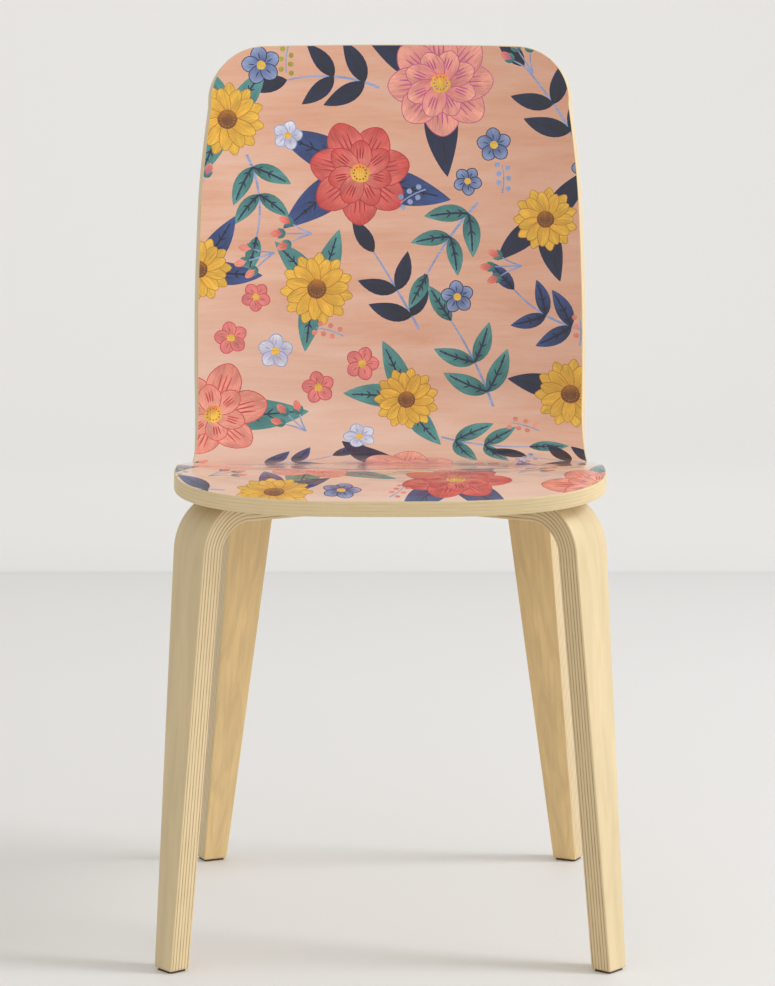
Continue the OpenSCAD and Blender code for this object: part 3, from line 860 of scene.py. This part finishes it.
def ply_look(name, thickness, plies, contrast, inner):
    """Laminated birch: plain veneer on its faces, and thin darker cross plies along its edges."""
    look = Look(name)
    parts = look.add("SeparateXYZ", {0: look.attribute("ply").outputs["Vector"]}).outputs
    depth, along_, across = parts[0], parts[1], parts[2]
    grain_at = look.add("CombineXYZ", {0: look.math("MULTIPLY", along_, 0.018), 1: across,
                                       2: look.math("MULTIPLY", depth, 0.9)}).outputs[0]
    fine = look.noise(look.scaled(grain_at, (0.6, 1.1, 1.1)), detail=5, roughness=0.6, distortion=0.25)
    figure = look.noise(look.scaled(grain_at, (0.5, 0.06, 0.02)), detail=3, roughness=0.5, distortion=1.6)
    cloud = look.noise(look.scaled(grain_at, (0.3, 0.05, 0.01)), detail=2)
    pale = look.mix(look.between(fine, 0.3, 0.7), tuple(0.965 * c for c in BIRCH),
                    tuple(1.03 * c for c in BIRCH))
    pale = look.mix(look.between(figure, 0.45, 0.65, 0, 0.22), pale, BIRCH_RICH)
    # The inner face is tinted warmer and more deeply figured than the outer face.
    warm = look.mix(look.between(fine, 0.3, 0.7), tuple(0.97 * c for c in inner),
                    tuple(1.09 * c for c in inner))
    warm = look.mix(look.between(figure, 0.42, 0.62, 0, 0.5), warm, tuple(c * 0.76 for c in inner))
    outer = look.math("LESS_THAN", depth, thickness / 2)
    veneer_colour = look.mix(outer, warm, pale)
    veneer_colour = look.mix(1.0, veneer_colour, look.ramp(cloud, (0.3, 0.91), (0.7, 1.06)), "MULTIPLY")
    warp_at = look.add("CombineXYZ", {0: look.math("MULTIPLY", along_, 0.012), 1: depth}).outputs[0]
    warp = look.noise(warp_at, detail=2)
    period = 2 * thickness / plies
    place = look.math("MULTIPLY_ADD", depth, 1 / period, look.between(warp, 0, 1, -0.05, 0.05))
    from_dark = look.math("ABSOLUTE", look.math("SUBTRACT", look.math("FRACT", place), 0.75))
    streak_at = look.add("CombineXYZ", {0: look.math("MULTIPLY", along_, 0.03),
                                        1: look.math("MULTIPLY", depth, 1.1), 2: 4.0}).outputs[0]
    streaks = look.noise(streak_at, detail=4, roughness=0.6)
    dark = look.math("MULTIPLY", look.between(from_dark, 0.07, 0.19, 1, 0),
                     look.between(streaks, 0.3, 0.62, 0.35, 1))
    pores = look.noise(look.scaled(grain_at, (3.0, 1.0, 2.4)), detail=4, roughness=0.7)
    long_colour = look.mix(look.between(streaks, 0.35, 0.7, 0, 0.4), tuple(1.1 * c for c in BIRCH),
                           BIRCH_RICH)
    edge_colour = look.mix(look.math("MULTIPLY", dark, contrast), long_colour, PLY_DARK)
    pored = look.ramp(pores, (0.25, 0.86), (0.5, 1.0), (0.75, 1.03))
    edge_colour = look.mix(1.0, edge_colour, pored, "MULTIPLY")
    inside = look.math("MULTIPLY", look.between(depth, 0.3, 0.8),
                       look.between(depth, thickness - 0.8, thickness - 0.3, 1, 0))
    colour = look.mix(inside, veneer_colour, edge_colour)
    look.set(Base_Color=colour, Coat_Weight=0.3, Coat_Roughness=0.28,
             Roughness=look.between(fine, 0.3, 0.7, 0.45, 0.6))
    look.bump(look.mix(inside, fine, pores), 0.1, 0.0003)
    return look.material


def back_look():
    """Plain birch veneer under satin lacquer, its grain running up the back."""
    look = Look("back_veneer")
    place = look.attribute("flat").outputs["Vector"]
    cathedral = look.noise(look.scaled(place, (0.011, 0.0022, 1)), detail=2, roughness=0.45, distortion=0.3)
    rings = look.math("PINGPONG", look.math("MULTIPLY", cathedral, 26.0), 1.0)
    fine = look.noise(look.scaled(place, (1.5, 0.024, 1)), detail=5, roughness=0.65)
    flame = look.noise(look.scaled(place, (0.05, 0.012, 1)), detail=3, roughness=0.5, distortion=1.2)
    face, rich = BIRCH, BIRCH_RICH
    colour = look.ramp(fine, (0.28, rich), (0.5, face), (0.75, tuple(min(1, c * 1.1) for c in face)))
    colour = look.mix(look.between(rings, 0.6, 1.0, 0, 0.2), colour, tuple(c * 0.86 for c in rich))
    colour = look.mix(1.0, colour, look.ramp(flame, (0.3, 0.92), (0.7, 1.05)), "MULTIPLY")
    look.set(Base_Color=colour, Coat_Weight=0.4, Coat_Roughness=0.22,
             Roughness=look.between(fine, 0.3, 0.7, 0.4, 0.55))
    look.bump(fine, 0.1, 0.0002)
    return look.material


def metal_look(name, colour, roughness):
    look = Look(name)
    place = look.add("TexCoord").outputs["Object"]
    wear = look.noise(place, scale=900, detail=4, roughness=0.6)
    cloud = look.noise(place, scale=160, detail=2)
    shade = look.mix(look.between(cloud, 0.35, 0.65), colour, tuple(c * 0.78 for c in colour))
    look.set(Base_Color=shade, Metallic=1.0,
             Roughness=look.between(wear, 0.3, 0.7, roughness, roughness + 0.2))
    look.bump(wear, 0.12, 0.0001)
    return look.material


def soft_look(name, colour, scale, roughness, strength):
    """Moulded rubber, or pressed felt where the bump is strong."""
    look = Look(name)
    place = look.add("TexCoord").outputs["Object"]
    fibres = look.noise(place, scale=scale, detail=5, roughness=0.7)
    shade = look.ramp(fibres, (0.3, tuple(c * 0.6 for c in colour)), (0.7, tuple(c * 1.5 for c in colour)))
    look.set(Base_Color=shade,
             Roughness=look.between(fibres, 0.3, 0.7, roughness - 0.1, min(1, roughness + 0.08)))
    look.bump(fibres, strength, 0.0004)
    return look.material


BIRCH, BIRCH_RICH = (0.69, 0.552, 0.326), (0.575, 0.41, 0.205)
BIRCH_WARM, PLY_DARK = (0.745, 0.535, 0.258), (0.27, 0.145, 0.05)

# ---------------------------------------------------------------------------
# The object
# ---------------------------------------------------------------------------
def dress(piece, material, slot, *nodes):
    piece.data.materials.append(material)
    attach(piece, "root")
    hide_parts(*nodes)


floral()
dress(veneer("printed_face", 9, 0, VENEER_T, shapes), print_look(), "printed_lacquer", "printed_face_veneer")
dress(veneer("back_face", 9, SHELL_T, SHELL_T - VENEER_T), back_look(), "back_veneer", "back_face_veneer")
dress(shell_core(), ply_look("shell_ply", SHELL_T, 9, 0.15, BIRCH), "core_birch", "shell_core")

leg_wood = ply_look("leg_ply", LEG_T, 13, 0.88, BIRCH_WARM)
for where, leg in LEGS.items():
    for hand in ("left", "right"):
        piece = leg_piece(f"{where}_{hand}_leg", leg, hand == "right")
        dress(piece, leg_wood, "leg_birch", f"leg_{where}_{hand}")

steel = metal_look("zinc_steel", (0.62, 0.63, 0.65), 0.28)
HARDWARE = {
    "spacers": soft_look("spacer_rubber", (0.03, 0.03, 0.03), 500, 0.75, 0.1),
    "inserts": metal_look("insert_brass", (0.72, 0.55, 0.26), 0.3),
    "washers": steel,
    "screws": steel,
    "foot_pad": soft_look("foot_felt", (0.075, 0.05, 0.036), 1400, 0.9, 0.6),
    "pad_nail": metal_look("nail_steel", (0.5, 0.5, 0.52), 0.35),
}
for name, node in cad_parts.items():
    for kind, material in HARDWARE.items():
        if name.startswith(kind):
            node.data.materials.clear()
            node.data.materials.append(material)

# ---------------------------------------------------------------------------
# Floor, light and camera
# ---------------------------------------------------------------------------
FRONT_Y = -MID_Y * MM
CAMERA_BACK, CAMERA_HEIGHT, CAMERA_PITCH = 3.289, 0.940, 8.21
LINE_BEHIND, WALL_BEHIND = 2.34, 6.4       # from the seat's front edge to the painted shade line on the floor, which stands in for a wall's corner, and to the wall


def stage_look(name, colour):
    """Matt studio paint with painted shade and light: one soft darker line across the floor is painted shade
    standing in for the corner of a wall, and the floor beyond it is painted lighter, more on the left than
    the right, as a lit wall.
    """
    look = Look(name)
    parts = look.add("SeparateXYZ", {0: look.add("TexCoord").outputs["Object"]}).outputs
    beyond = look.math("SUBTRACT", parts[1], FRONT_Y + LINE_BEHIND)
    # Painted shade: darker towards the line across the floor, as in the corner where a wall meets a floor.
    shade = look.ramp(look.math("ABSOLUTE", beyond), (0, 0.89), (0.035, 0.93), (0.3, 0.965), (0.9, 1.0))
    # Painted light: the floor beyond the line is lighter, more on the left than the right, as on a lit wall.
    far = look.between(parts[0], -0.9, 0.9, 1.09, 1.06)
    even = look.mix(look.between(beyond, 0, 0.01), (0.99, 0.99, 0.99), far)
    paint_ = look.mix(1.0, look.mix(1.0, colour, shade, "MULTIPLY"), even, "MULTIPLY")
    look.set(Base_Color=paint_, Roughness=0.6, Specular_IOR_Level=0.2)
    return look.material


def studio():
    """A pale floor that sweeps up into a pale wall, far enough back to walk round the chair."""
    wall_y, half, cove = FRONT_Y + WALL_BEHIND, 9.0, 2.6
    ring = [(-9.0, 0.0), (wall_y - cove, 0.0)]
    turns = np.linspace(0, math.pi / 2, 33)[1:]
    ring += [(wall_y - cove + cove * math.sin(a), cove - cove * math.cos(a)) for a in turns]
    ring += [(wall_y, 6.0)]
    points = [(x / MM, y / MM, z / MM) for y, z in ring for x in (-half, half)]
    faces = [(2 * k, 2 * k + 1, 2 * k + 3, 2 * k + 2) for k in range(len(ring) - 1)]
    stage = new_object("studio_floor", points, faces, smooth_angle=60)
    stage.data.materials.append(stage_look("studio_white", (0.80, 0.80, 0.805)))


def soft_light(name, place, aim, size, power, colour):
    data = bpy.data.lights.new(name, "AREA")
    data.shape, data.size, data.energy, data.color = "DISK", size, power, colour
    light = bpy.data.objects.new(name, data)
    light.location = place
    light.rotation_euler = (Vector(aim) - Vector(place)).to_track_quat("-Z", "Y").to_euler()
    bpy.context.scene.collection.objects.link(light)


def camera():
    data = bpy.data.cameras.new("camera")
    data.sensor_width, data.lens = 36, 130.4
    data.clip_end = 50
    seen = bpy.data.objects.new("camera", data)
    seen.location = (-0.0026, FRONT_Y - CAMERA_BACK, CAMERA_HEIGHT)
    seen.rotation_euler = (math.radians(90 - CAMERA_PITCH), 0, 0)
    bpy.context.scene.collection.objects.link(seen)
    bpy.context.scene.camera = seen


studio()
camera()
soft_light("key", (3.5, -0.7, 3.1), (0, 0, 0.4), 1.4, 86.5, (0.955, 0.965, 1.0))
soft_light("window", (4.4, -2.2, 1.3), (0, 0, 0.5), 3.0, 59.5, (0.965, 0.965, 0.995))
soft_light("backdrop", (0, 2.4, 3.6), (0, 5.4, 0.6), 3.0, 17, (0.985, 0.99, 1.0))
world = bpy.data.worlds.new("studio_world")
world.use_nodes = True
world.node_tree.nodes["Background"].inputs["Color"].default_value = (0.995, 0.965, 0.905, 1)
world.node_tree.nodes["Background"].inputs["Strength"].default_value = 0.72
bpy.context.scene.world = world
bpy.context.scene.view_settings.view_transform = "Standard"
